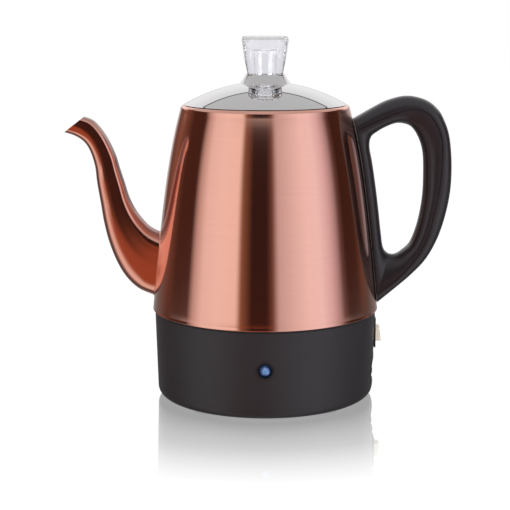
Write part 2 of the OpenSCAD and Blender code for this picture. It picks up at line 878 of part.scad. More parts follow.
module wiring() {
    sag_z = terminal_z - 6;
    color("#8a2f28")
        union() {
            // Live pin to the switch
            lead([
                [pin_tail_x - joint_gap, pin_pitch / 2, inlet_z],
                [pin_tail_x - 6, pin_pitch / 2, inlet_z],
                [switch_tail_x - 4, 4, switch_z - switch_tag_z],
                [switch_tail_x - joint_gap, 0, switch_z - switch_tag_z]
            ], lead_r);
            // Switch to the thermal fuse
            lead([
                [switch_tail_x - joint_gap, 0, switch_z + switch_tag_z],
                [switch_tail_x - 3, 2, switch_z + switch_tag_z],
                [switch_tail_x - 3, fuse_at[1], fuse_at[2]],
                [fuse_at[0] + fuse_leg + joint_gap, fuse_at[1], fuse_at[2]]
            ], lead_r);
            // Thermal fuse to the thermostat
            lead([
                [fuse_at[0] - fuse_leg - joint_gap, fuse_at[1], fuse_at[2]],
                [fuse_at[0] - fuse_leg - 3, fuse_at[1], fuse_at[2]],
                [fuse_at[0] - fuse_leg - 3, fuse_at[1], terminal_z - 2],
                [0, 12, sag_z + 2],
                [0, thermostat_tag_y, thermostat_tail_z]
            ], lead_r);
            // Thermostat to the element
            lead([
                [0, -thermostat_tag_y, thermostat_tail_z],
                [-6, -8, sag_z + 1],
                [terminal_x, -terminal_y, sag_z + 2],
                [terminal_x, -terminal_y, terminal_z - joint_gap]
            ], lead_r);
            // Element back to the neutral pin
            lead([
                [terminal_x, terminal_y, terminal_z - joint_gap],
                [terminal_x, terminal_y, sag_z - 2],
                [10, 14, sag_z - 5],
                [pin_tail_x - 8, -pin_pitch / 2, inlet_z - 4],
                [pin_tail_x - joint_gap, -pin_pitch / 2, inlet_z]
            ], lead_r);
            // Lamp leads
            for (side = [-1, 1])
                lead([
                    [side * 1.2, lamp_tail_y + joint_gap, lamp_z],
                    [side * 6, lamp_tail_y + 4, lamp_z],
                    [side * 9, lamp_tail_y + 8, lamp_z - 8]
                ], lead_r);
        }
}

/* ---- Pump stem ---- */

module pump_tube() {
    inner = tube_r - tube_wall;
    foot = seat_plate_z + seat_plate_t + 0.02;
    stop = valve_z + valve_t + valve_travel + 0.05;
    color("#d9d9db")
        rotate_extrude()
            polygon([
                [inner, foot], [tube_r, foot], [tube_r, basket_z - gap - stop_t - 1],
                [tube_r + 1.8, basket_z - gap - stop_t], [tube_r + 1.8, basket_z - gap],
                [tube_r, basket_z - gap], [tube_r, stem_top_z], [inner, stem_top_z],
                [inner, stop + 1.4], [inner - 1, stop + 0.7], [inner - 1, stop], [inner, stop]
            ]);
}

module pump_base() {
    bore = tube_r + 0.02;
    top = bell_z + bell_h;
    notch = 2.4;
    color("#c9c9cc")
        difference() {
            union() {
                rotate_extrude()
                    polygon([
                        [bell_r, bell_z], [bell_r, bell_z + 2], [bell_r - 5, bell_z + 5.5],
                        [tube_r + 2, bell_z + 7],
                        [tube_r + 1, top], [bore, top], [bore, bell_z + 6.2], [bell_r - 5.4, bell_z + 4.7],
                        [bell_r - bell_wall, bell_z + 1.7], [bell_r - bell_wall, bell_z]
                    ]);
                rotate_extrude()
                    polygon([
                        [2.4, seat_plate_z], [tube_r + 1, seat_plate_z],
                        [tube_r + 1, bell_z + 7], [bore, bell_z + 7],
                        [bore, seat_plate_z + seat_plate_t], [2.4, seat_plate_z + seat_plate_t]
                    ]);
            }
            for (a = [45 : 90 : 315])
                rotate([0, 0, a])
                    translate([bell_r - 2, -notch, bell_z - 1])
                        cube([4, 2 * notch, 2.4]);
        }
}

module pump_valve() {
    color("#e0b64c")
        translate([0, 0, valve_z])
            cylinder(h = valve_t, r = valve_r, $fn = small_fn);
}

/* ---- Basket ---- */

// Three rings of drilled holes between radii r0 and r1
module drilled(r0, r1, z, h, hole_r) {
    for (ring = [0 : 2], i = [0 : 11 + 6 * ring])
        rotate([0, 0, 360 * i / (12 + 6 * ring)])
            translate([r0 + (r1 - r0) * ring / 2, 0, z])
                cylinder(h = h, r = hole_r, $fn = 16);
}

module basket() {
    bore = tube_r + run_fit;
    top = basket_z + basket_h;
    rim_z = top - 1.2;
    color("#cfcfd2")
        difference() {
            rotate_extrude()
                polygon([
                    [bore, basket_z], [basket_r, basket_z], [basket_r, rim_z], [basket_r + basket_rim, rim_z],
                    [basket_r + basket_rim, top], [basket_r - basket_wall, top],
                    [basket_r - basket_wall, basket_z + basket_wall],
                    [bore + sleeve_wall, basket_z + basket_wall],
                    [bore + sleeve_wall, top - 0.4], [bore, top - 0.4]
                ]);
            drilled(bore + 7, basket_r - 6, basket_z - 1, 3, 1.1);
        }
}

module basket_cover() {
    bore = tube_r + run_fit;
    lip_r = basket_r - basket_wall - gap;
    color("#d2d2d6")
        difference() {
            rotate_extrude()
                polygon([
                    [bore, basket_cover_z], [lip_r - 0.6, basket_cover_z], [lip_r - 0.6, basket_cover_z - 3],
                    [lip_r, basket_cover_z - 3], [lip_r, basket_cover_z],
                    [basket_r + basket_rim, basket_cover_z],
                    [basket_r + basket_rim, basket_cover_z + 0.7], [bore, basket_cover_z + 0.7]
                ]);
            drilled(bore + 7, lip_r - 4, basket_cover_z - 1, 3, 1.2);
        }
}

/* ---- Lid and knob ---- */

dome_radii = [for (u = [1, 0.985, 0.96, 0.92, 0.87, 0.8, 0.72, 0.63, 0.53, 0.43]) u * lid_r];

module lid() {
    flare_r = collar_r + collar_wall + collar_flare;
    fillet = [for (a = [0 : 15 : 90])
        [flare_r - collar_flare * sin(a), dome_z(flare_r) + collar_flare * (1 - cos(a))]];
    outside = concat([for (r = dome_radii) [r, dome_z(r)]], fillet,
        [[collar_r + collar_wall, collar_top_z], [collar_r, collar_top_z]]);
    inside = concat([[collar_r, dome_z(flare_r) - lid_wall]],
        [for (i = [len(dome_radii) - 1 : -1 : 2])
            [dome_radii[i] - lid_wall * 0.3, dome_z(dome_radii[i]) - lid_wall]],
        [[lid_r - 1.2, lid_seat_z], [lid_r, lid_seat_z - 0.01]]);
    color("#b9b9bd")
        rotate_extrude()
            polygon(concat(outside, inside));
}

module lid_skirt() {
    color("#a9a9ad")
        rotate_extrude()
            polygon([
                [skirt_r, lid_seat_z - skirt_h], [skirt_r, lid_seat_z - 0.02],
                [skirt_r - skirt_wall, lid_seat_z - 0.02], [skirt_r - skirt_wall, lid_seat_z - skirt_h]
            ]);
}

module knob() {
    neck_z = collar_top_z + 0.7;
    grip_z = knob_top_z - 11;
    flutes = 12;
    color([0.92, 0.94, 0.95, 0.45])
        difference() {
            rotate_extrude()
                polygon([
                    [knob_hollow_r, knob_bottom_z], [knob_neck_r, knob_bottom_z],
                    [knob_neck_r, knob_ring_z - 0.1], [knob_neck_r - knob_groove_d, knob_ring_z - 0.1],
                    [knob_neck_r - knob_groove_d, knob_ring_z + knob_ring_t + 0.1],
                    [knob_neck_r, knob_ring_z + knob_ring_t + 0.1],
                    [knob_neck_r, neck_z], [knob_neck_r + 0.7, neck_z + 2], [knob_top_r - 1, grip_z + 4],
                    [knob_top_r, knob_top_z - 2.2], [knob_top_r - 0.2, knob_top_z - 0.6],
                    [knob_top_r - 0.8, knob_top_z], [0, knob_top_z], [0, knob_top_z - 6.7],
                    [knob_hollow_r - 2.4, knob_top_z - 7.3], [knob_hollow_r, knob_top_z - 10]
                ]);
            for (i = [0 : flutes - 1])
                rotate([0, 0, 360 * (i + 0.5) / flutes])
                    translate([knob_top_r + 0.5, 0, grip_z])
                        cylinder(h = 12, r = 1.2, $fn = small_fn);
        }
}

module knob_ring() {
    color("silver")
        translate([0, 0, knob_ring_z])
            difference() {
                cylinder(h = knob_ring_t, r = collar_r + 1.8);
                translate([0, 0, -1])
                    cylinder(h = 3, r = knob_neck_r - knob_groove_d + 0.05);
            }
}

vessel();
vessel_floor();
spout();
handle_frame();
handle_cover();
handle_studs();
handle_screws();
base_housing();
base_gasket();
bottom_cover();
feet();
standoffs();
base_screws();
heater_plate();
heating_element();
element_terminals();
thermostat();
thermostat_terminals();
thermostat_bracket();
bracket_screws();
keep_warm_heater();
keep_warm_strap();
thermal_fuse();
lamp_holder();
lamp_lens();
lamp_led();
switch_housing();
switch_rocker();
switch_terminals();
inlet_socket();
inlet_pins();
inlet_screws();
wiring();
pump_tube();
pump_base();
pump_valve();
basket();
basket_cover();
lid();
lid_skirt();
knob();
knob_ring();
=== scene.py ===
"""An electric coffee percolator: a copper-tinted jug with a gooseneck spout on a dark plastic base."""

import json
import math

import bmesh
import bpy
import numpy as np
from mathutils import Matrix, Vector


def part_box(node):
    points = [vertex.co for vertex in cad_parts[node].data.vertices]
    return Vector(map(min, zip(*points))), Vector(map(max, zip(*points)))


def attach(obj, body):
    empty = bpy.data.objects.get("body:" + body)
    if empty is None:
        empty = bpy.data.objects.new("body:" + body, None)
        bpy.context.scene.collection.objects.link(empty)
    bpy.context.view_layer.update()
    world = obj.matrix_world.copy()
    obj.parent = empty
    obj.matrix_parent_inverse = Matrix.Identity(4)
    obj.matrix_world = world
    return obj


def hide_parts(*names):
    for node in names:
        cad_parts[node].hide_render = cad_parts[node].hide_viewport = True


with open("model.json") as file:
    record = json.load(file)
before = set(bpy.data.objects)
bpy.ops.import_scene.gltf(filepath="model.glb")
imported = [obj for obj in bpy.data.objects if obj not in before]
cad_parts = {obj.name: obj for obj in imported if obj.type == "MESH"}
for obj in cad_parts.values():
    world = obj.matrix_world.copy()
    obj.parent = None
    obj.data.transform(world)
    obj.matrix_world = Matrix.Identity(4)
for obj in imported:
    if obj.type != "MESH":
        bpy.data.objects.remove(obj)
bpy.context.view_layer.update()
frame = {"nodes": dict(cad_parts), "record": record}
scene = bpy.context.scene

# ---- Camera ----
# A long lens a little above the jug's lid, square on to its front.

camera = bpy.data.objects.new("camera", bpy.data.cameras.new("camera"))
scene.collection.objects.link(camera)
camera.location = (0, -0.805, 0.230)
camera.rotation_euler = (math.radians(90 - 10.41), 0, 0)
camera.data.sensor_width = 36
camera.data.lens = 98.8
camera.data.shift_x = -0.02
camera.data.clip_start = 0.01
scene.camera = camera

# ---- Studio ----
# A white sweep, tall soft boxes left and right of the camera and a grey ceiling. The polished
# metal shows them as upright bands, so their colours go round the horizon in one ramp.

scene.view_settings.view_transform = "Standard"
WHITE = (1, 1, 1, 1)


def wire(tree, kind, **inputs):
    """A node of that kind, with each input set to a value or joined to another node's output."""
    node = tree.nodes.new(kind)
    for name, value in inputs.items():
        key = int(name[1:]) if name[0] == "i" and name[1:].isdigit() else name.replace("_", " ")
        if isinstance(value, bpy.types.NodeSocket):
            tree.links.new(value, node.inputs[key])
        else:
            node.inputs[key].default_value = value
    return node


def maths(tree, operation, *values):
    """The output of one Math node."""
    node = wire(tree, "ShaderNodeMath", **{f"i{i}": v for i, v in enumerate(values)})
    node.operation = operation
    return node.outputs[0]


def ramp(tree, fac, stops):
    """A colour ramp over (position, colour) stops; a plain number is a grey."""
    node = wire(tree, "ShaderNodeValToRGB", Fac=fac)
    elements = node.color_ramp.elements
    while len(elements) < len(stops):
        elements.new(0.5)
    for element, (position, colour) in zip(elements, stops):
        element.position = position
        element.color = (*colour, 1) if isinstance(colour, tuple) else (colour, colour, colour, 1)
    return node.outputs[0]


def pick(tree, fac, a, b):
    """Colour a where fac is 0 and b where it is 1."""
    node = tree.nodes.new("ShaderNodeMix")
    node.data_type = "RGBA"
    for socket, value in ((node.inputs[0], fac), (node.inputs[6], a), (node.inputs[7], b)):
        if isinstance(value, bpy.types.NodeSocket):
            tree.links.new(value, socket)
        else:
            socket.default_value = value
    return node.outputs[2]


# Compass bearings round the jug in degrees, 0 towards the camera and 90 to the right,
# with the brightness that the metal sees there.
DARK = (0.034, 0.016, 0.013)
BROWN = (0.17, 0.09, 0.065)
horizon = [
    (-180, 0.85), (-166, 0.75), (-158, 0.42), (-150, (0.14, 0.07, 0.055)), (-134, (0.24, 0.12, 0.08)),
    (-118, (0.14, 0.065, 0.045)), (-108, (0.07, 0.03, 0.02)), (-86, (0.06, 0.025, 0.018)),
    (-79, (0.56, 0.48, 0.46)), (-68, (0.92, 0.89, 0.88)), (-50, (1.0, 0.98, 0.97)),
    (-30, (0.99, 0.95, 0.9)), (-25, (0.26, 0.14, 0.08)), (-14, DARK), (2, DARK), (8, BROWN),
    (14, (0.66, 0.62, 0.66)), (30, (0.84, 0.84, 0.88)), (46, (1.0, 1.02, 1.08)),
    (60, (1.0, 1.04, 1.14)), (73, (0.78, 0.74, 0.84)), (82, (0.46, 0.41, 0.46)),
    (88, (0.14, 0.09, 0.085)), (95, (0.05, 0.022, 0.016)), (112, (0.06, 0.028, 0.018)),
    (124, (0.17, 0.08, 0.045)), (134, (0.1, 0.07, 0.065)), (144, (0.34, 0.34, 0.4)), (158, 0.55),
    (168, 0.78), (180, 0.85),
]

world = bpy.data.worlds.new("studio")
scene.world = world
world.use_nodes = True
tree = world.node_tree
tree.nodes.clear()
way = wire(tree, "ShaderNodeSeparateXYZ", Vector=tree.nodes.new("ShaderNodeTexCoord").outputs["Generated"])
bearing = maths(tree, "ARCTAN2", way.outputs[0], maths(tree, "MULTIPLY", way.outputs[1], -1))
turn = maths(tree, "ADD", maths(tree, "DIVIDE", bearing, 2 * math.pi), 0.5)
around = ramp(tree, turn, [(angle / 360 + 0.5, colour) for angle, colour in horizon])
# Below the horizon there is a red-brown bench in front, with pale floor at its two ends.
BENCH = (0.36, 0.11, 0.055)
below = [
    (-180, 0.5), (-150, 0.2), (-118, (0.09, 0.05, 0.04)), (-98, 0.2), (-84, (0.6, 0.52, 0.5)),
    (-74, (0.9, 0.84, 0.8)), (-50, (0.86, 0.78, 0.72)), (-32, BENCH), (10, BENCH),
    (17, (0.66, 0.58, 0.58)), (46, (0.95, 0.92, 0.96)), (62, (0.95, 0.94, 1.0)), (76, 0.6), (100, 0.15),
    (125, 0.1), (150, 0.2), (180, 0.5),
]
bench = ramp(tree, turn, [(angle / 360 + 0.5, colour) for angle, colour in below])
sink = wire(tree, "ShaderNodeMapRange", Value=way.outputs[2], From_Min=-0.09, From_Max=-0.15).outputs[0]
# The ceiling is grey over the jug, then has a dark joint, and is brighter behind it.
back = maths(tree, "DIVIDE", way.outputs[1], maths(tree, "MAXIMUM", way.outputs[2], 0.05))
ceiling = ramp(tree, maths(tree, "DIVIDE", back, 2.0),
               [(0.0, 0.62), (0.626, 0.66), (0.636, 0.06), (0.658, 0.06), (0.672, 0.92), (1.0, 0.98)])
rise = wire(tree, "ShaderNodeMapRange", Value=way.outputs[2], From_Min=0.4, From_Max=0.46).outputs[0]
# Behind the jug, above the floor's far edge, the sweep is white.
behind = wire(tree, "ShaderNodeMapRange", Value=way.outputs[1], From_Min=0.6, From_Max=0.8).outputs[0]
above = wire(tree, "ShaderNodeMapRange", Value=way.outputs[2], From_Min=0.1, From_Max=0.2).outputs[0]
level = pick(tree, maths(tree, "MULTIPLY", behind, above), around, WHITE)
studio = pick(tree, sink, pick(tree, rise, level, ceiling), bench)
rays = tree.nodes.new("ShaderNodeLightPath").outputs
# Clear plastic sees the white backdrop only low down behind the jug, and grey walls elsewhere.
backdrop = wire(tree, "ShaderNodeMapRange", Value=way.outputs[1], From_Min=0.1, From_Max=0.7).outputs[0]
through = pick(tree, backdrop, (0.5, 0.49, 0.52, 1), (0.8, 0.79, 0.84, 1))
plain = pick(tree, rays["Is Glossy Ray"], (0.62, 0.62, 0.63, 1), studio)
plain = pick(tree, rays["Is Transmission Ray"], plain, through)
seen = pick(tree, rays["Is Camera Ray"], plain, WHITE)
sky = wire(tree, "ShaderNodeBackground", Color=seen, Strength=1.0)
tree.links.new(sky.outputs[0], tree.nodes.new("ShaderNodeOutputWorld").inputs[0])


def soft_box(name, place, aim, size, power):
    """An area lamp at place, turned to aim. It lights the matt parts; the metal doesn't show it."""
    lamp = bpy.data.lights.new(name, "AREA")
    lamp.shape = "RECTANGLE"
    lamp.size, lamp.size_y = size
    lamp.energy = power
    box = bpy.data.objects.new(name, lamp)
    scene.collection.objects.link(box)
    box.location = place
    away = np.array(place) - np.array(aim)
    box.rotation_euler = (math.acos(away[2] / np.linalg.norm(away)), 0, math.atan2(away[0], -away[1]))
    box.visible_glossy = False


soft_box("left_box", (-0.75, -0.6, 0.45), (0, 0, 0.1), (0.5, 0.8), 5.0)
soft_box("right_box", (0.8, -0.55, 0.45), (0, 0, 0.1), (0.5, 0.8), 6.0)
soft_box("ceiling_box", (0, -0.1, 1.1), (0, 0, 0.1), (0.9, 0.9), 5.0)

# The floor mirrors the foot of the jug close by and is plain white further off.
mat = bpy.data.materials.new("floor")
mat.use_nodes = True
tree = mat.node_tree
tree.nodes.clear()
where = tree.nodes.new("ShaderNodeTexCoord").outputs["Object"]
spread = wire(tree, "ShaderNodeVectorMath", i0=where)
spread.operation = "LENGTH"
fade = ramp(tree, maths(tree, "MULTIPLY", spread.outputs["Value"], 2.0), [
    (0.0, 0.66), (0.136, 0.66), (0.182, 0.52), (0.222, 0.43), (0.26, 0.28), (0.296, 0.16), (0.331, 0.06),
    (0.37, 0.0),
])
mirror = wire(tree, "ShaderNodeBsdfGlossy", Color=WHITE, Roughness=0.02)
lit = wire(tree, "ShaderNodeBsdfDiffuse", Color=(0.9, 0.9, 0.9, 1))
glow = wire(tree, "ShaderNodeEmission", Color=WHITE, Strength=1.07)
shown = tree.nodes.new("ShaderNodeLightPath").outputs["Is Camera Ray"]
lift = maths(tree, "MULTIPLY", shown, 0.9)
plate = wire(tree, "ShaderNodeMixShader", i0=lift, i1=lit.outputs[0], i2=glow.outputs[0])
both = wire(tree, "ShaderNodeMixShader", i0=fade, i1=plate.outputs[0], i2=mirror.outputs[0])
tree.links.new(both.outputs[0], tree.nodes.new("ShaderNodeOutputMaterial").inputs[0])
bpy.ops.mesh.primitive_plane_add(size=8)
floor = bpy.context.object
floor.name = "floor"
floor.data.materials.append(mat)
floor.visible_glossy = False

# ---- Base housing ----
# One deep moulding in charcoal plastic with a fine matt grain. It stands on rubber feet, its
# foot is rounded and it has openings for the switch and the inlet.

MM = 0.001


def outline(corners, steps=6):
    """Points along an outline of (r, z, fillet) corners; each corner is rounded by an arc."""
    points = []
    count = len(corners)
    for i, (r, z, fillet) in enumerate(corners):
        here = np.array((r, z), float)
        if fillet == 0:
            points.append(here)
            continue
        back = np.array(corners[i - 1][:2]) - here
        on = np.array(corners[(i + 1) % count][:2]) - here
        back, on = back / np.linalg.norm(back), on / np.linalg.norm(on)
        half = math.acos(np.clip(back @ on, -1, 1)) / 2
        reach = fillet / math.tan(half)
        middle = (back + on) / np.linalg.norm(back + on)
        centre = here + middle * fillet / math.sin(half)
        first, last = here + back * reach - centre, here + on * reach - centre
        sweep = math.pi - 2 * half
        side = np.sign(first[0] * last[1] - first[1] * last[0])
        for t in np.linspace(0, side * sweep, steps + 1):
            cos, sin = math.cos(t), math.sin(t)
            points.append(centre + (first[0] * cos - first[1] * sin, first[0] * sin + first[1] * cos))
    return np.array(points)


def dense(points, longest):
    """The same closed outline with extra points, so that no step is longer than the given length."""
    parts = []
    for a, b in zip(points, np.roll(points, -1, axis=0)):
        count = max(1, math.ceil(np.linalg.norm(b - a) / longest))
        parts.append(a + (b - a) * np.linspace(0, 1, count, endpoint=False)[:, None])
    return np.concatenate(parts)


def add_piece(name, points, faces, sharp=32, **marks):
    """A smooth-shaded object from points in mm and faces, with its faces turned outwards. Each mark
    is a named attribute with one number for each point."""
    mesh = bpy.data.meshes.new(name)
    mesh.from_pydata((np.asarray(points).reshape(-1, 3) * MM).tolist(), [], faces)
    for mark, values in marks.items():
        mesh.attributes.new(mark, "FLOAT", "POINT").data.foreach_set("value", np.ravel(values))
    work = bmesh.new()
    work.from_mesh(mesh)
    bmesh.ops.remove_doubles(work, verts=work.verts, dist=1e-7)
    bmesh.ops.dissolve_degenerate(work, edges=work.edges, dist=1e-8)
    if work.calc_volume(signed=True) < 0:
        bmesh.ops.reverse_faces(work, faces=work.faces)
    work.to_mesh(mesh)
    work.free()
    mesh.shade_smooth()
    mesh.set_sharp_from_angle(angle=math.radians(sharp))
    piece = bpy.data.objects.new(name, mesh)
    scene.collection.objects.link(piece)
    return piece


def grid_faces(rows, columns, loop_rows, loop_columns):
    """Quads of a grid of points, joined round along either way."""
    i = np.arange(rows if loop_rows else rows - 1)[:, None]
    j = np.arange(columns if loop_columns else columns - 1)[None, :]
    i2, j2 = (i + 1) % rows, (j + 1) % columns
    quads = np.stack([i * columns + j, i * columns + j2, i2 * columns + j2, i2 * columns + j], axis=-1)
    return quads.reshape(-1, 4).tolist()


def revolve(name, profile, around=256, sharp=32):
    """A body of revolution: the closed profile of (r, z) points in mm carried once round the Z axis."""
    angle = np.linspace(0, 2 * math.pi, around, endpoint=False)[:, None]
    r, z = profile[None, :, 0], profile[None, :, 1]
    points = np.stack([r * np.cos(angle), r * np.sin(angle), z + 0 * angle], axis=-1)
    return add_piece(name, points, grid_faces(around, len(profile), True, True), sharp)


def cut(piece, *tools):
    """Takes the tools' volumes out of the piece, then deletes them."""
    for tool in tools:
        mod = piece.modifiers.new("cut", "BOOLEAN")
        mod.object = tool
        mod.solver = "EXACT"
        with bpy.context.temp_override(object=piece, active_object=piece):
            bpy.ops.object.modifier_apply(modifier=mod.name)
        bpy.data.objects.remove(tool)
    piece.data.shade_smooth()
    piece.data.set_sharp_from_angle(angle=math.radians(32))


def place(piece, body, finish, slot, *nodes):
    """Dresses a piece, lets it ride on its body and stand for its CAD nodes."""
    piece.data.materials.append(finish)
    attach(piece, body)
    if nodes:
        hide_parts(*nodes)


def material(name, **inputs):
    """A material with one principled shader, its node tree and that shader."""
    mat = bpy.data.materials.new(name)
    mat.use_nodes = True
    tree = mat.node_tree
    shader = tree.nodes["Principled BSDF"]
    for key, value in inputs.items():
        shader.inputs[key.replace("_", " ")].default_value = value
    return mat, tree, shader


def speckle(tree, scale, stretch=(1, 1, 1), detail=2.0):
    """Noise over the object's own coordinates in metres, stretched along an axis."""
    spot = tree.nodes.new("ShaderNodeTexCoord").outputs["Object"]
    spot = wire(tree, "ShaderNodeVectorMath", i0=spot, i1=stretch)
    spot.operation = "MULTIPLY"
    return wire(tree, "ShaderNodeTexNoise", Vector=spot.outputs[0], Scale=scale, Detail=detail).outputs["Fac"]


def between(tree, fac, low, high):
    """fac from 0 to 1 mapped to low to high."""
    return wire(tree, "ShaderNodeMapRange", Value=fac, To_Min=low, To_Max=high).outputs[0]


def emboss(tree, shader, height, strength, distance):
    """Bump on a shader from a height output; distance is in metres."""
    bump = wire(tree, "ShaderNodeBump", Height=height, Strength=strength, Distance=distance)
    tree.links.new(bump.outputs[0], shader.inputs["Normal"])


def moulded(name, colour, rough, grain=2600, depth=0.00006, specular=0.5):
    """Moulded plastic: a fine spark-eroded grain, with a slow change of gloss over the surface."""
    mat, tree, shader = material(name, Base_Color=(*colour, 1), Specular_IOR_Level=specular)
    fine = speckle(tree, grain, detail=3)
    slow = speckle(tree, 35, detail=3)
    tree.links.new(between(tree, slow, rough - 0.05, rough + 0.05), shader.inputs["Roughness"])
    tone = pick(tree, slow, (*[c * 0.88 for c in colour], 1), (*[c * 1.12 for c in colour], 1))
    tree.links.new(tone, shader.inputs["Base Color"])
    emboss(tree, shader, fine, 0.35, depth)
    return mat


def box_mm(node):
    """A CAD node's lowest and highest corners in mm."""
    return tuple(np.array(corner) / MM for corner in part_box(node))


base_corner_low, base_corner_high = box_mm("base_housing")
base_r = base_corner_high[0]
base_low, base_top = base_corner_low[2], base_corner_high[2]
cover_r, _, cover_top = box_mm("bottom_cover")[1]
wall = 2.4
ledge = 7
lap = 4
cover_gap = 0.3
hair = 0.02
foot_round = 5
base_draft = 1.45
foot_r = base_r - base_draft
base_profile = outline([
    (cover_r + cover_gap, base_low, 0), (foot_r, base_low, foot_round),
    (base_r, base_top, 0.7), (base_r - ledge, base_top, 0.4),
    (base_r - ledge, base_top - wall, 0), (base_r - wall, base_top - wall, 1),
    (foot_r - wall - 1, cover_top + 4, 1), (cover_r - lap, cover_top + 2, 0),
    (cover_r - lap, cover_top + hair, 0), (cover_r + cover_gap, cover_top + hair, 0),
], steps=8)
base = revolve("base_shell", dense(base_profile, 2.5))


def block(name, low, high):
    """A box between two corners, in mm."""
    x, y, z = np.meshgrid(*zip(low, high), indexing="ij")
    faces = [(0, 1, 3, 2), (4, 6, 7, 5), (0, 4, 5, 1), (2, 3, 7, 6), (0, 2, 6, 4), (1, 5, 7, 3)]
    return add_piece(name, np.stack([x.ravel(), y.ravel(), z.ravel()], axis=-1), faces)


def stadium(width, height, steps=16):
    """A flat oval around the origin, as (y, z) points."""
    t = np.linspace(-math.pi / 2, math.pi / 2, steps)
    r, side = height / 2, (width - height) / 2
    half = np.stack([side + r * np.cos(t), r * np.sin(t)], axis=-1)
    return np.concatenate([half, -half])


def end_caps(count, rows):
    """One face over the first ring of count points and one over the last."""
    last = (rows - 1) * count
    return [tuple(range(count)), tuple(range(last + count - 1, last - 1, -1))]


def prism_x(name, shape, x0, x1, z):
    """A (y, z) outline, raised to height z, extended along X from x0 to x1 and closed at both ends."""
    count = len(shape)
    rings = [np.column_stack([np.full(count, x), shape + (0, z)]) for x in (x0, x1)]
    return add_piece(name, np.concatenate(rings), grid_faces(2, count, False, True) + end_caps(count, 2))


inlet_low, inlet_high = box_mm("inlet_socket")
inlet_mid_z = (inlet_low[2] + inlet_high[2]) / 2
inlet_h = inlet_high[2] - inlet_low[2]
inlet_w = 34
lamp_low, lamp_high = box_mm("lamp_holder")
lamp_z = (lamp_low[2] + lamp_high[2]) / 2
switch_low, switch_high = box_mm("switch_housing")
flange = np.array((0.5, 0.8))
switch_mouth_low, switch_mouth_high = switch_low[1:] + flange, switch_high[1:] - flange
play = 0.3
past_base = base_r + 9
switch_depth, inlet_depth = 12, 16
cut(
    base,
    block("tool", (base_r - switch_depth, *switch_mouth_low), (past_base, *switch_mouth_high)),
    prism_x("tool", stadium(inlet_w + play, inlet_h + play), base_r - inlet_depth, past_base, inlet_mid_z),
)
base_plastic = moulded("charcoal_plastic", (0.0180, 0.0158, 0.0185), 0.42, specular=0.38)
place(base, "pot", base_plastic, "base_plastic", "base_housing")

# ---- Vessel ----
# Drawn from steel sheet with a copper-coloured coating, and brushed round and round. The wall
# tapers gently, then steeply at the shoulder. The mouth is rolled in to carry the lid.

vessel_low, vessel_high = box_mm("vessel")
vessel_r = vessel_high[0]
shoulder_r = 48.6
mouth_r = 46.0
vessel_z, mouth_z = vessel_low[2], vessel_high[2]
foot_z = vessel_z + 5.2
shoulder_z = mouth_z - 2
sheet = 0.8


def wall_radius(z):
    """The vessel's outer radius at height z. Up to the shoulder it falls by 0.7 of the taper in a
    straight line and by 0.3 with the fourth power of height. Below foot_z a parabola flares the foot."""
    z = np.asarray(z, float)
    t = np.clip((z - foot_z) / (shoulder_z - foot_z), 0, 1)
    upper = vessel_r - (vessel_r - shoulder_r) * (0.7 * t + 0.3 * t**4)
    foot = foot_z - z
    return np.where(z < foot_z, vessel_r + 0.1045 * foot - 0.0062 * foot**2, upper)


bend_z = shoulder_z - 0.5
heights = np.concatenate([
    np.linspace(vessel_z + 1.2, foot_z + 6, 12),
    np.linspace(foot_z + 8, bend_z, 60),
])
taper = np.column_stack([wall_radius(heights), heights])
turn_in = np.radians(np.arange(15, 91, 7.5))
shoulder = np.column_stack([
    mouth_r + (wall_radius(bend_z) - mouth_r) * np.cos(turn_in) ** 0.8,
    bend_z + (mouth_z - bend_z) * np.sin(turn_in),
])
bead_r = 0.5
bead_z = vessel_z + bead_r
bead = np.radians(np.arange(-90, 31, 20))
foot_bead = np.column_stack([
    wall_radius(bead_z) - 0.35 + bead_r * np.cos(bead), bead_z + bead_r * np.sin(bead),
])
outside = np.concatenate([foot_bead, taper, shoulder])
inside = np.column_stack([wall_radius(heights) - sheet, heights])[::-1]
lip = np.array([(mouth_r - 0.5, mouth_z), (mouth_r - sheet, mouth_z - 0.4), (mouth_r - sheet, shoulder_z)])
vessel = revolve("jug_wall", np.concatenate([outside, lip, inside]), sharp=50)


def brushed(name, colour, rough, lines=1.0, turned=0.55):
    """Metal brushed round its axis: fine level lines, and highlights drawn out up and down."""
    mat, tree, shader = material(name, Base_Color=(*colour, 1), Metallic=1.0, Anisotropic=turned,
                                 Anisotropic_Rotation=0.25)
    fine = speckle(tree, 1.0, (70, 70, 5200), detail=2)
    coarse = speckle(tree, 1.0, (22, 22, 1300), detail=3)
    both = maths(tree, "ADD", maths(tree, "MULTIPLY", fine, 0.6), maths(tree, "MULTIPLY", coarse, 0.4))
    spread = 0.07 * lines
    tree.links.new(between(tree, both, rough - spread, rough + spread), shader.inputs["Roughness"])
    change = 0.14 * lines
    dim = [c * (1 - change) for c in colour]
    bright = [min(1, c * (1 + change)) for c in colour]
    tone = pick(tree, both, (*dim, 1), (*bright, 1))
    tree.links.new(tone, shader.inputs["Base Color"])
    around_z = tree.nodes.new("ShaderNodeTangent")
    around_z.direction_type = "RADIAL"
    around_z.axis = "Z"
    tree.links.new(around_z.outputs[0], shader.inputs["Tangent"])
    emboss(tree, shader, both, 0.12 * lines, 0.00003)
    return mat


copper = brushed("brushed_copper", (0.86, 0.46, 0.37), 0.11, lines=0.45, turned=0.75)
place(vessel, "pot", copper, "copper_steel", "vessel")

# ---- Spout ----
# Pressed in two halves from the same copper-coloured sheet, welded and polished. Its section
# has flat cheeks with a soft ridge along the lower edge, and the mouth is cut slanting.

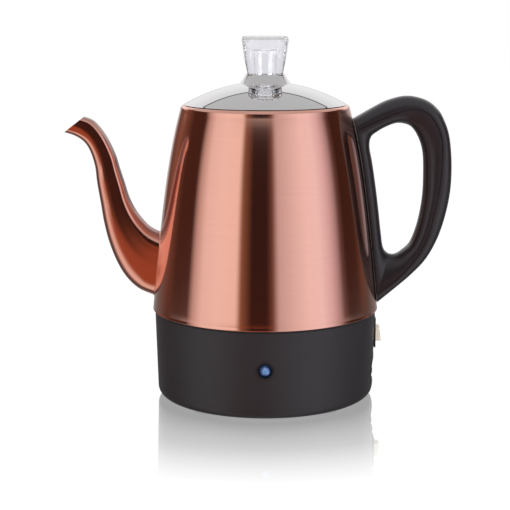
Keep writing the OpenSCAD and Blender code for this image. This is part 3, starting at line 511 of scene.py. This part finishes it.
spout_root_z = vessel_z + 7
spout_lower = np.array([
    (0, 0), (9.5, 4), (17.5, 11), (24, 20.5), (29.5, 32), (33.5, 43.5), (36.5, 54.5),
    (40, 66.5), (42.5, 76), (46.5, 84.5), (51, 90), (57, 93.5), (63.5, 95.5),
], float)
spout_upper = np.array([
    (0, 37.5), (6, 40.5), (10.5, 44.5), (14.5, 49), (18, 54), (21, 59.5), (24, 66.5),
    (28, 75), (31.5, 82.5), (37, 91), (43, 98), (48.5, 102.5), (54, 104.5),
], float)


def curve_through(points, steps, closed=False):
    """A Catmull-Rom curve through the points, with that many steps between two of them."""
    count = len(points)
    span = np.arange(count if closed else count - 1)

    def near(shift):
        index = (span + shift) % count if closed else np.clip(span + shift, 0, count - 1)
        return points[index][:, None, :]

    a, b, c, d = near(-1), near(0), near(1), near(2)
    t = (np.arange(steps) / steps)[None, :, None]
    out = 0.5 * (2 * b + (c - a) * t + (2 * a - 5 * b + 4 * c - d) * t**2 + (3 * b - a - 3 * c + d) * t**3)
    out = out.reshape(-1, points.shape[1])
    return out if closed else np.concatenate([out, points[-1:]])


half_section = curve_through(np.array([
    (-1.0, 0.0), (-0.985, 0.22), (-0.93, 0.46), (-0.81, 0.7), (-0.62, 0.88), (-0.38, 0.97), (-0.1, 0.998),
    (0.2, 1.0), (0.5, 0.998), (0.67, 0.985), (0.79, 0.9), (0.88, 0.7), (0.95, 0.42), (1.0, 0.0),
]), 5)
section = np.concatenate([half_section, (half_section * (1, -1))[-2:0:-1]])
root_half_w, tip_half_w = 11.5, 6.2


def spout_surface(thin):
    """Rings of the section between the lower and upper edge curves, thin mm inside the outer surface.
    The half width falls from root to tip with the power 1.6 of the way left. Near the root each
    point follows the round wall; 25 mm out and beyond, x is the wall's radius plus the reach."""
    low, high = curve_through(spout_lower, 8), curve_through(spout_upper, 8)
    along = np.linspace(0, 1, len(low))
    half_width = tip_half_w + (root_half_w - tip_half_w) * (1 - along) ** 1.6
    middle, half = (low + high) / 2, (high - low) / 2
    shrink = 1 - thin / np.linalg.norm(half, axis=1)
    flat = middle[:, None, :] + half[:, None, :] * section[None, :, :1] * shrink[:, None, None]
    y = (half_width - thin)[:, None] * section[None, :, 1]
    out, z = flat[..., 0], spout_root_z + flat[..., 1]
    near_wall = np.sqrt(wall_radius(z) ** 2 - y**2)
    share = np.clip(out / 25, 0, 1)
    x = -(near_wall + (wall_radius(z) - near_wall) * share + out - 0.1)
    return np.stack([x, y, z], axis=-1)


outer, inner = spout_surface(0), spout_surface(0.9)
rings = np.concatenate([outer, inner[::-1]])
# Painted shade: the base colour is made darker and greyer along the spout's two edges, standing in for the
# dark reflections there.
upper_edge = np.clip((section[:, 0] - 0.76) / 0.16, 0, 1) * 0.8
lower_edge = np.clip((-0.955 - section[:, 0]) / 0.035, 0, 1) * 0.75
edge_tint = np.tile(upper_edge + lower_edge, len(rings))
spout_faces = grid_faces(*rings.shape[:2], True, True)
spout = add_piece("spout_shell", rings, spout_faces, sharp=50, edge_tint=edge_tint)


def welded(seam, reach, sides=8):
    """A round bead along a closed seam: circles of radius reach across the seam's own direction."""
    ahead = np.roll(seam, -1, axis=0) - np.roll(seam, 1, axis=0)
    ahead /= np.linalg.norm(ahead, axis=1)[:, None]
    outward = seam * (1, 1, 0) / np.linalg.norm(seam[:, :2], axis=1)[:, None]
    outward -= ahead * (outward * ahead).sum(axis=1)[:, None]
    outward /= np.linalg.norm(outward, axis=1)[:, None]
    across = np.cross(ahead, outward)
    turn = np.linspace(0, 2 * math.pi, sides, endpoint=False)[None, :, None]
    return seam[:, None, :] + reach * (outward[:, None, :] * np.cos(turn) + across[:, None, :] * np.sin(turn))


weld_rings = welded(outer[0], 0.55)
weld = add_piece("spout_weld", weld_rings, grid_faces(*weld_rings.shape[:2], True, True))
polished_copper = brushed("polished_copper", (0.84, 0.42, 0.33), 0.13, lines=0.15, turned=0.0)
tree = polished_copper.node_tree
# The painted shade along the spout's edges is mixed into its base colour here.
mark = tree.nodes.new("ShaderNodeAttribute")
mark.attribute_name = "edge_tint"
shader = tree.nodes["Principled BSDF"]
tone = pick(tree, mark.outputs["Fac"], shader.inputs["Base Color"].links[0].from_socket, (0.2, 0.13, 0.13, 1))
tree.links.new(tone, shader.inputs["Base Color"])
place(spout, "pot", polished_copper, "copper_spout", "spout")
place(weld, "pot", polished_copper, "copper_spout")

# ---- Handle ----
# Two black mouldings: the frame is the post and the inside of the grip, and the cover clips over
# it along a fine seam. Both have a satin grain.

seam_edge = np.array([
    (0, 14.5), (9, 10.5), (18, 7), (28, 3.5), (35.5, 2), (42, 4), (46, 10), (47.5, 20),
    (45.5, 31.5), (42.5, 45.5), (38.5, 58), (34, 71.5), (28.5, 82.5), (21.5, 91.5), (13.5, 99.5), (0, 109),
], float)
cover_edge = np.array([
    (0, 8), (11, 2.5), (21, -2.5), (32, -5), (42.5, -3), (49.5, 2), (52, 8.5), (53, 18.5),
    (51.5, 35), (48.5, 51), (43.5, 66.5), (37.5, 79.5), (30, 90.5), (20.5, 99.5), (11, 107), (0, 115.5),
], float)
hole_edge = np.array([
    (8, 18.5), (12, 15.5), (18, 12.5), (24.5, 10.5), (30.5, 11.5), (33.5, 14.5), (35.5, 20.5), (36, 28),
    (34.5, 40), (32.5, 52), (29.5, 63.5), (26, 73), (22, 80.5), (17.5, 84.5), (13, 87), (9, 86.5),
    (6.5, 83), (6, 75), (6, 60.5), (6, 46.5), (6, 33.5), (6, 24),
], float)
post_drops = np.array([109, 85, 74.5, 60.5, 46.5, 33.5, 24, 14.5])
grip_steps = 8
handle_half_w = 9.2
handle_gap = 0.25


def handle_place(edge):
    """(out, down) points to (x, z): out from the vessel's wall, down from its mouth."""
    z = mouth_z - edge[:, 1]
    return np.column_stack([wall_radius(z) + handle_gap + edge[:, 0], z])


def half_round(flat, round_side, width, steps=20, lip=0.6, power=0.85):
    """Rings with a flat side and a rounded one, and a lip's radius where the two meet. The rounded
    side is a half circle whose cosine and sine are raised to the power, so a little squarer."""
    t = np.linspace(-math.pi / 2, math.pi / 2, steps)
    depth = np.sign(np.cos(t)) * np.abs(np.cos(t)) ** power
    y = np.sign(np.sin(t)) * np.abs(np.sin(t)) ** power
    way = round_side - flat
    length = np.linalg.norm(way, axis=1)[:, None]
    start = np.minimum(lip / length, 0.4)
    corner = [0 * start, start * 0.3]
    share = np.concatenate([*corner, start + (1 - start) * depth[None, 1:-1], *corner[::-1]], axis=1)
    inset = np.array([1, 0.3]) * lip / width
    across = np.concatenate([inset - 1, y[1:-1], (1 - inset)[::-1]])
    flat_points = flat[:, None, :] + way[:, None, :] * share[..., None]
    y = np.broadcast_to(across * width, share.shape)
    return np.stack([flat_points[..., 0], y, flat_points[..., 1]], axis=-1)


seam = handle_place(curve_through(seam_edge, grip_steps))
cover_side = handle_place(curve_through(cover_edge, grip_steps))
hole = handle_place(curve_through(hole_edge, grip_steps, closed=True))
post_spans = len(post_drops) - 1
post_z = np.interp(np.arange(1, post_spans * grip_steps) / grip_steps, np.arange(post_spans + 1), post_drops)
post = handle_place(np.column_stack([0 * post_z, post_z]))
frame_rings = half_round(np.concatenate([seam, post]), hole, handle_half_w)
handle_frame = add_piece("handle_inner", frame_rings, grid_faces(*frame_rings.shape[:2], True, True))
cover_rings = half_round(seam, cover_side, handle_half_w)
rows, count = cover_rings.shape[:2]
cover_faces = grid_faces(rows, count, False, True) + end_caps(count, rows)
handle_cover = add_piece("handle_outer", cover_rings, cover_faces)
black_plastic = moulded("black_satin_plastic", (0.0125, 0.0100, 0.0125), 0.29, grain=3200)
place(handle_frame, "pot", black_plastic, "handle_plastic", "handle_frame")
place(handle_cover, "pot", black_plastic, "handle_plastic", "handle_cover")

# ---- Lid ----
# Spun from steel and mirror polished: a low dome, a rim that closes the mouth and a flared
# collar for the knob.

lid_r, _, collar_z = box_mm("lid")[1]
lid_z = mouth_z + 0.3
lid_sheet = 0.8
dome_h = 12.7
collar_r = 10.38
flare_w = 4.6


def dome(r):
    """The dome's height at radius r: flat on top and falling faster towards the rim."""
    return lid_z + dome_h * (1 - (r / lid_r) ** 2.1)


reach = np.linspace(1, 0.34, 60) * lid_r
flare_r = collar_r + flare_w
reach = reach[reach > flare_r + 0.3]
flare_h = collar_z - 0.2 - dome(flare_r)
climb = np.linspace(0, 1, 12)
flare = np.column_stack([flare_r - 4 * climb, dome(flare_r) + flare_h * climb**1.3])
collar = np.array([
    (collar_r + 0.6, collar_z - 0.15), (collar_r + 0.4, collar_z), (collar_r + 0.1, collar_z),
    (collar_r, collar_z - 0.2),
])
under = np.column_stack([reach - 0.25, dome(reach) - lid_sheet])[::-1][:-1]
rim = np.array([(lid_r - 1.2, lid_z), (lid_r - 0.3, lid_z - 0.02), (lid_r - 0.05, lid_z + 0.05)])
over = np.column_stack([reach[1:], dome(reach[1:])])
collar_foot = [(collar_r, dome(flare_r) - lid_sheet)]
lid_profile = np.concatenate([over, flare, collar, collar_foot, under, rim])
lid = revolve("lid_dome", lid_profile, sharp=40)


def polished(name, colour, rough=0.05):
    """Polished metal with a faint haze and wiping marks."""
    mat, tree, shader = material(name, Base_Color=(*colour, 1), Metallic=1.0)
    haze = speckle(tree, 60, detail=4)
    tree.links.new(between(tree, haze, rough * 0.6, rough * 1.5), shader.inputs["Roughness"])
    return mat


mirror_steel = polished("mirror_steel", (0.70, 0.685, 0.69), 0.04)
place(lid, "lid", mirror_steel, "mirror_steel", "lid")

# ---- Knob ----
# Clear acrylic, hollow, so that the coffee shows as it spurts from the tube. It widens to a
# gripping rim with moulded notches.

knob_low, knob_high = box_mm("knob")
knob_top, knob_foot = knob_high[2], knob_low[2]
neck_r, hollow_r, knob_r = 10.3, 5.9, 13.5
ring_low, ring_high = knob_foot + 1.6, knob_foot + 2.7
groove_r = neck_r - 0.9
knob_profile = outline([
    (hollow_r, knob_foot, 0), (neck_r, knob_foot, 0.3), (neck_r, ring_low, 0), (groove_r, ring_low, 0),
    (groove_r, ring_high, 0), (neck_r, ring_high, 0), (neck_r, collar_z + 0.8, 1.5),
    (knob_r - 1, knob_top - 9, 6), (knob_r, knob_top - 2, 2), (knob_r - 0.5, knob_top, 0.6),
    (0, knob_top, 0), (0, knob_top - 6.7, 0), (hollow_r, knob_top - 6.9, 0.8),
], steps=6)
knob_profile = dense(knob_profile, 0.9)
notch_count = 12
knob_sides = 24 * notch_count


def notched(profile):
    """The profile carried round the axis, its outer wall pressed in 0.35 mm at each notch. Round the
    axis a notch is the cube of a cosine's upper half; it fades out below and towards the hollow."""
    angle = np.linspace(0, 2 * math.pi, knob_sides, endpoint=False)[:, None]
    r, z = profile[None, :, 0], profile[None, :, 1]
    fade_down = np.clip((z - (knob_top - 11)) / 3, 0, 1) * (z < knob_top - 0.3)
    fade_in = np.clip((r - hollow_r - 3) / 3, 0, 1)
    r = r - 0.35 * fade_down * fade_in * np.clip(np.cos(notch_count * angle), 0, 1) ** 3
    return np.stack([r * np.cos(angle), r * np.sin(angle), z + 0 * angle], axis=-1)


knob_faces = grid_faces(knob_sides, len(knob_profile), True, True)
knob = add_piece("knob_clear", notched(knob_profile), knob_faces, sharp=40)
acrylic, tree, shader = material("clear_acrylic", Base_Color=(0.97, 0.98, 0.985, 1), Roughness=0.02, IOR=1.49,
                                 Transmission_Weight=1.0)
emboss(tree, shader, speckle(tree, 180, detail=1), 0.08, 0.0002)
place(knob, "knob", acrylic, "clear_plastic", "knob")

# ---- Signal lamp ----
# A blue moulded lens with facets, lit from behind by a small diode, in a black push-in ring.

lamp_r = 3.6
lamp_face = -(base_r - base_draft * (base_top - lamp_z) / (base_top - base_low - foot_round))
facets = 10


def lamp_rings(radii, out, count, twist=0.0):
    """Circles around the lamp's own axis: radius by radius, out from the base's wall, each turned on."""
    turn = np.linspace(0, 2 * math.pi, count, endpoint=False)[None, :]
    turn = turn + np.arange(len(radii))[:, None] * twist
    r, away = np.array(radii)[:, None], np.array(out)[:, None]
    return np.stack([r * np.sin(turn), lamp_face - away + 0 * turn, lamp_z + r * np.cos(turn)], axis=-1)


seat, stem_r = -1.4, lamp_r - 0.9
lens_radii = [0, 1.3, 2.6, lamp_r, lamp_r, stem_r, stem_r, 0]
lens_out = [1.9, 1.85, 1.35, 0.3, seat, seat, -4, -4]
lens_rings = lamp_rings(lens_radii, lens_out, facets, math.pi / facets)
lens = add_piece("lamp_facets", lens_rings, grid_faces(*lens_rings.shape[:2], False, True), sharp=1)
ring_radii = lamp_r + np.array([0.05, 0.05, 0.3, 0.75, 1, 1, 0.4, 0.4, -0.55, -0.55])
ring_rings = lamp_rings(ring_radii, [seat, 0.5, 0.85, 0.85, 0.55, 0.12, 0.12, -13, -13, seat], 64)
lamp_ring = add_piece("lamp_ring", ring_rings, grid_faces(*ring_rings.shape[:2], True, True))
blue, tree, shader = material("blue_lens", Roughness=0.12, IOR=1.5, Emission_Strength=0.3)
# The lens is bright in its middle and dark at its rim; a ripple makes the rings uneven.
where = tree.nodes.new("ShaderNodeTexCoord").outputs["Object"]
spot = wire(tree, "ShaderNodeVectorMath", i0=where, i1=(0, lamp_face * MM, lamp_z * MM))
spot.operation = "DISTANCE"
ripple = maths(tree, "MULTIPLY", speckle(tree, 800, detail=1), 1.2 * MM)
glow = ramp(tree, maths(tree, "MULTIPLY", maths(tree, "ADD", spot.outputs["Value"], ripple), 200), [
    (0.14, (0.012, 0.36, 0.78)), (0.27, (0.006, 0.2, 0.52)), (0.37, (0.002, 0.06, 0.2)),
    (0.46, (0.006, 0.12, 0.34)), (0.54, (0.12, 0.2, 0.36)), (0.62, (0.03, 0.07, 0.17)),
    (0.7, (0.002, 0.01, 0.035)),
])
tree.links.new(glow, shader.inputs["Base Color"])
tree.links.new(glow, shader.inputs["Emission Color"])
dark_plastic = moulded("fitting_plastic", (0.005, 0.006, 0.009), 0.34)
place(lens, "pot", blue, "blue_lens", "lamp_lens")
place(lamp_ring, "pot", dark_plastic, "fitting_plastic", "lamp_holder")

# ---- Switch rocker ----
# A cream translucent rocker with a square raised block, moulded with its two pivot pins.

rocker_low, rocker_high = box_mm("switch_rocker")
proud = 6.9
rocker_x, rocker_z = rocker_high[0] - proud, (rocker_low[2] + rocker_high[2]) / 2
half = 4.2
rocker_side = outline([
    (-2, -half + 2, 0.2), (0, -half + 0.2, 0.4), (proud - 0.5, -half, 0.6), (proud, -half + 0.6, 0.3),
    (proud - 0.8, half - 0.1, 0.7), (0, half - 0.2, 0.4), (-2, half - 2, 0.2),
], steps=5)
width = rocker_high[1] - 0.9
# Its two ends are scaled in a little, which breaks the edges.
stations = ((-width, 0.93), (-width + 0.25, 1.0), (width - 0.25, 1.0), (width, 0.93))
core = rocker_side.mean(axis=0)


def across_y(shape, y):
    """An (x, z) outline around the rocker's pivot, put at a place along Y."""
    return np.column_stack([shape[:, 0] + rocker_x, np.full(len(shape), y), shape[:, 1] + rocker_z])


rocker_rings = [across_y(core + (rocker_side - core) * scale, y) for y, scale in stations]
rocker_faces = grid_faces(4, len(rocker_side), False, True) + end_caps(len(rocker_side), 4)
pin_sides = 24
pin_turn = np.linspace(0, 2 * math.pi, pin_sides, endpoint=False)
pin_circle = np.column_stack([np.cos(pin_turn), np.sin(pin_turn)])
pin_rings = [across_y(pin_circle, y) for y in (rocker_low[1], rocker_high[1])]
first_pin = 4 * len(rocker_side)
for face in grid_faces(2, pin_sides, False, True) + end_caps(pin_sides, 2):
    rocker_faces.append(tuple(first_pin + i for i in face))
rocker = add_piece("rocker_block", np.concatenate(rocker_rings + pin_rings), rocker_faces)
cream = moulded("cream_plastic", (0.80, 0.72, 0.62), 0.24)
place(rocker, "rocker", cream, "cream_plastic", "switch_rocker")

# ---- Everything that shows little ----
# The carried-over parts inside the base and the jug keep their shapes and get their finishes.

plain_steel = brushed("plain_steel", (0.62, 0.61, 0.60), 0.26, lines=0.6)
zinc = brushed("zinc_plated", (0.55, 0.56, 0.58), 0.34, lines=0.3, turned=0.0)
rubber = moulded("black_rubber", (0.012, 0.012, 0.012), 0.72)
brass = polished("plated_brass", (0.60, 0.52, 0.36), 0.22)
ceramic = moulded("ceramic", (0.70, 0.66, 0.57), 0.7)
sheath = polished("element_sheath", (0.18, 0.16, 0.14), 0.5)
red_sleeve = moulded("lead_sleeve", (0.2, 0.02, 0.015), 0.5)
by_slot = {
    "plain_steel": plain_steel, "zinc_steel": zinc, "black_rubber": rubber, "fitting_plastic": dark_plastic,
    "base_plastic": base_plastic, "plated_brass": brass, "valve_brass": brass, "cream_plastic": cream,
    "ceramic": ceramic, "fuse_case": cream, "cast_aluminium": zinc, "element_sheath": sheath,
    "blue_lens": blue, "clear_led": cream, "lead_sleeve": red_sleeve,
}
for entry in frame["record"]["subparts"]:
    finish = by_slot.get(entry["material_slot"])
    if finish:
        node = frame["nodes"][entry["node"]]
        node.data.materials.clear()
        node.data.materials.append(finish)
